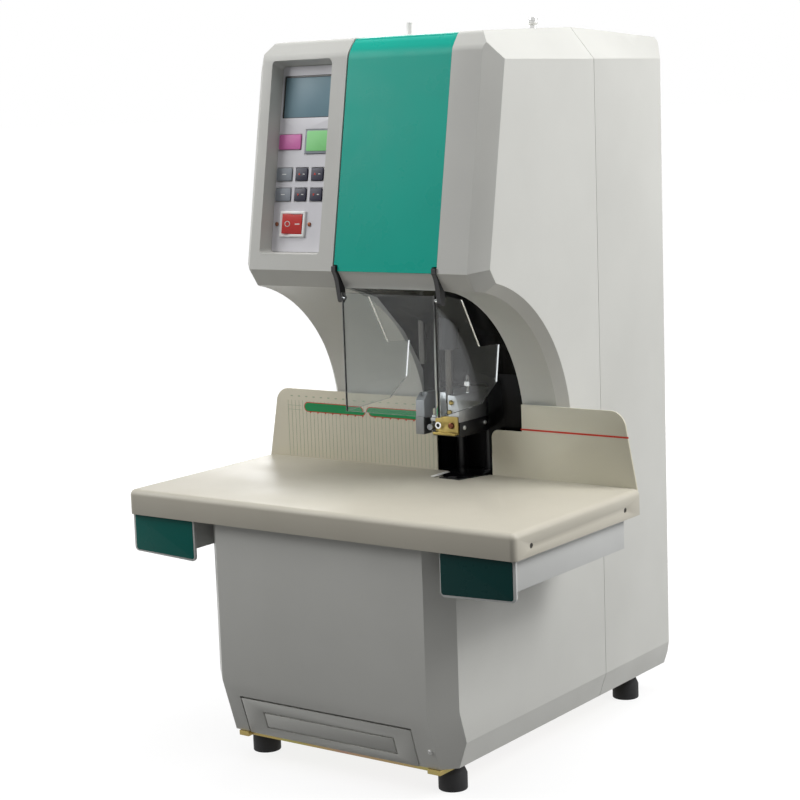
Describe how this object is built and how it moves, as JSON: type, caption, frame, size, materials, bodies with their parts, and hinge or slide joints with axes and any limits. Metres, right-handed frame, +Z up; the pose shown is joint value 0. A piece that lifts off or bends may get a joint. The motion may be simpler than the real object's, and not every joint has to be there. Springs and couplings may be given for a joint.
{
  "type": "document riveting machine",
  "caption": "Motor-driven bench machine that drills a stack of papers and binds it with a hot-formed plastic tube; keypad, display, clear guard, fenced table, drawers.",
  "frame": {"origin": "on the floor under the middle of the machine's width and depth", "axes": "+Z up, -Y towards the user, +X to the user's right"},
  "size_m": [0.459, 0.437, 0.723],
  "materials": {
    "housing_grey": "fine moulded texture, satin",
    "table_beige": "powder coat",
    "fence_beige": "powder coat",
    "panel_green": "satin film",
    "front_green": "printed film",
    "drawer_grey": "moulded, satin",
    "throat_black": "gloss",
    "zinc_yellow": "yellow passivated",
    "steel": "machined",
    "bright_steel": "polished",
    "aluminium": "machined",
    "black_steel": "blackened",
    "brass": "machined",
    "rubber": "matte",
    "clear_guard": "clear acrylic, polished",
    "white_film": "satin film",
    "display_glass": "display, off",
    "key_red": "satin",
    "key_green": "satin",
    "key_grey": "satin",
    "key_navy": "satin",
    "rocker_red": "gloss",
    "white_plastic": "gloss",
    "board_green": "board",
    "motor_black": "satin",
    "belt_black": "matte",
    "black_plastic": "matte"
  },
  "bodies": {
    "machine": {"front_housing": "housing_grey", "rear_cover": "housing_grey", "centre_cover": "housing_grey", "centre_panel": "panel_green", "throat_cover": "throat_black", "base_plate": "zinc_yellow", "feet": "rubber", "housing_brackets": "zinc_yellow", "table_plate": "table_beige", "case_screws": "bright_steel", "table_bearers": "steel", "fence": "fence_beige", "anvil": "black_steel", "drill_pad": "white_plastic", "drawer_rails": "steel", "frame_plates": "black_steel", "head_beam": "black_steel", "guide_rods": "bright_steel", "press_motor": "motor_black", "feed_motor": "motor_black", "tube_guide": "bright_steel", "tube_inlet": "white_plastic", "top_peg": "bright_steel", "guard_brackets": "black_steel", "guard_pins": "bright_steel", "control_panel": "white_film", "display": "display_glass", "switch_bezel": "white_plastic", "control_board": "board_green", "power_supply": "steel", "power_inlet": "black_plastic"},
    "guard": {"guard": "clear_guard"},
    "press_head": {"press_carriage": "black_steel", "clamp_block": "aluminium", "clamp_foot": "black_steel", "tube_arm": "aluminium", "brass_bracket": "brass", "head_screws": "bright_steel"},
    "press_drive": {"press_screw": "bright_steel"},
    "drill_head": {"drill_carriage": "steel", "drill_motor": "motor_black", "drill_belt": "belt_black"},
    "spindle": {"drill_spindle": "bright_steel", "spindle_pulley": "aluminium"},
    "motor_drive": {"motor_pulley": "aluminium"},
    "feed_drive": {"feed_screw": "bright_steel"},
    "waste_tray": {"waste_drawer": "housing_grey"},
    "left_tray": {"left_drawer": "drawer_grey", "left_drawer_front": "front_green"},
    "right_tray": {"right_drawer": "drawer_grey", "right_drawer_front": "front_green"},
    "rocker": {"power_rocker": "rocker_red"},
    "reset_key_cap": {"reset_key": "key_red"},
    "start_key_cap": {"start_key": "key_green"},
    "upper_mode_key_cap": {"upper_mode_key": "key_grey"},
    "lower_mode_key_cap": {"lower_mode_key": "key_grey"},
    "count_up_key_cap": {"count_up_key": "key_navy"},
    "count_down_key_cap": {"count_down_key": "key_navy"},
    "value_up_key_cap": {"value_up_key": "key_navy"},
    "value_down_key_cap": {"value_down_key": "key_navy"}
  },
  "joints": [
    {"name": "guard_hinge", "type": "hinge", "parent": "machine", "child": "guard", "pos_m": [0.035, -0.1225, 0.458], "axis": [-1, 0, 0], "range_deg": [0, 80]},
    {"name": "press_slide", "type": "slide", "parent": "machine", "child": "press_head", "axis": [0, 0, -1], "range_m": [0, 0.041]},
    {"name": "press_screw_turn", "type": "hinge", "parent": "machine", "child": "press_drive", "pos_m": [0.034, 0.0435, 0.3], "axis": [0, 0, 1], "range_deg": [0, 1480]},
    {"name": "drill_feed", "type": "slide", "parent": "machine", "child": "drill_head", "axis": [0, 0, -1], "range_m": [0, 0.043]},
    {"name": "feed_screw_turn", "type": "hinge", "parent": "machine", "child": "feed_drive", "pos_m": [0.034, 0.0435, 0.6], "axis": [0, 0, 1], "range_deg": [0, 1940]},
    {"name": "spindle_spin", "type": "hinge", "parent": "drill_head", "child": "spindle", "pos_m": [0.034, -0.0275, 0.5], "axis": [0, 0, 1], "continuous": true},
    {"name": "motor_spin", "type": "hinge", "parent": "drill_head", "child": "motor_drive", "pos_m": [0.034, -0.0685, 0.55], "axis": [0, 0, 1], "continuous": true},
    {"name": "waste_slide", "type": "slide", "parent": "machine", "child": "waste_tray", "axis": [0, -1, 0], "range_m": [0, 0.12]},
    {"name": "left_drawer_slide", "type": "slide", "parent": "machine", "child": "left_tray", "axis": [0, -1, 0], "range_m": [0, 0.15]},
    {"name": "right_drawer_slide", "type": "slide", "parent": "machine", "child": "right_tray", "axis": [0, -1, 0], "range_m": [0, 0.15]},
    {"name": "rocker_tilt", "type": "hinge", "parent": "machine", "child": "rocker", "pos_m": [-0.0895, -0.10725, 0.52667], "axis": [0, -0.1791, -0.9838], "range_deg": [0, 16]},
    {"name": "reset_key_press", "type": "slide", "parent": "machine", "child": "reset_key_cap", "axis": [0, 0.9838, -0.1791], "range_m": [0, 0.0004], "stiffness_N_per_m": 600},
    {"name": "start_key_press", "type": "slide", "parent": "machine", "child": "start_key_cap", "axis": [0, 0.9838, -0.1791], "range_m": [0, 0.0004], "stiffness_N_per_m": 600},
    {"name": "upper_mode_key_press", "type": "slide", "parent": "machine", "child": "upper_mode_key_cap", "axis": [0, 0.9838, -0.1791], "range_m": [0, 0.0004], "stiffness_N_per_m": 600},
    {"name": "lower_mode_key_press", "type": "slide", "parent": "machine", "child": "lower_mode_key_cap", "axis": [0, 0.9838, -0.1791], "range_m": [0, 0.0004], "stiffness_N_per_m": 600},
    {"name": "count_up_key_press", "type": "slide", "parent": "machine", "child": "count_up_key_cap", "axis": [0, 0.9838, -0.1791], "range_m": [0, 0.0004], "stiffness_N_per_m": 600},
    {"name": "count_down_key_press", "type": "slide", "parent": "machine", "child": "count_down_key_cap", "axis": [0, 0.9838, -0.1791], "range_m": [0, 0.0004], "stiffness_N_per_m": 600},
    {"name": "value_up_key_press", "type": "slide", "parent": "machine", "child": "value_up_key_cap", "axis": [0, 0.9838, -0.1791], "range_m": [0, 0.0004], "stiffness_N_per_m": 600},
    {"name": "value_down_key_press", "type": "slide", "parent": "machine", "child": "value_down_key_cap", "axis": [0, 0.9838, -0.1791], "range_m": [0, 0.0004], "stiffness_N_per_m": 600}
  ],
  "couplings": [
    {"joint": "press_screw_turn", "follows": "press_slide", "rad_per_m": 628.32},
    {"joint": "feed_screw_turn", "follows": "drill_feed", "rad_per_m": 785.4},
    {"joint": "motor_spin", "follows": "spindle_spin", "ratio": 1}
  ]
}
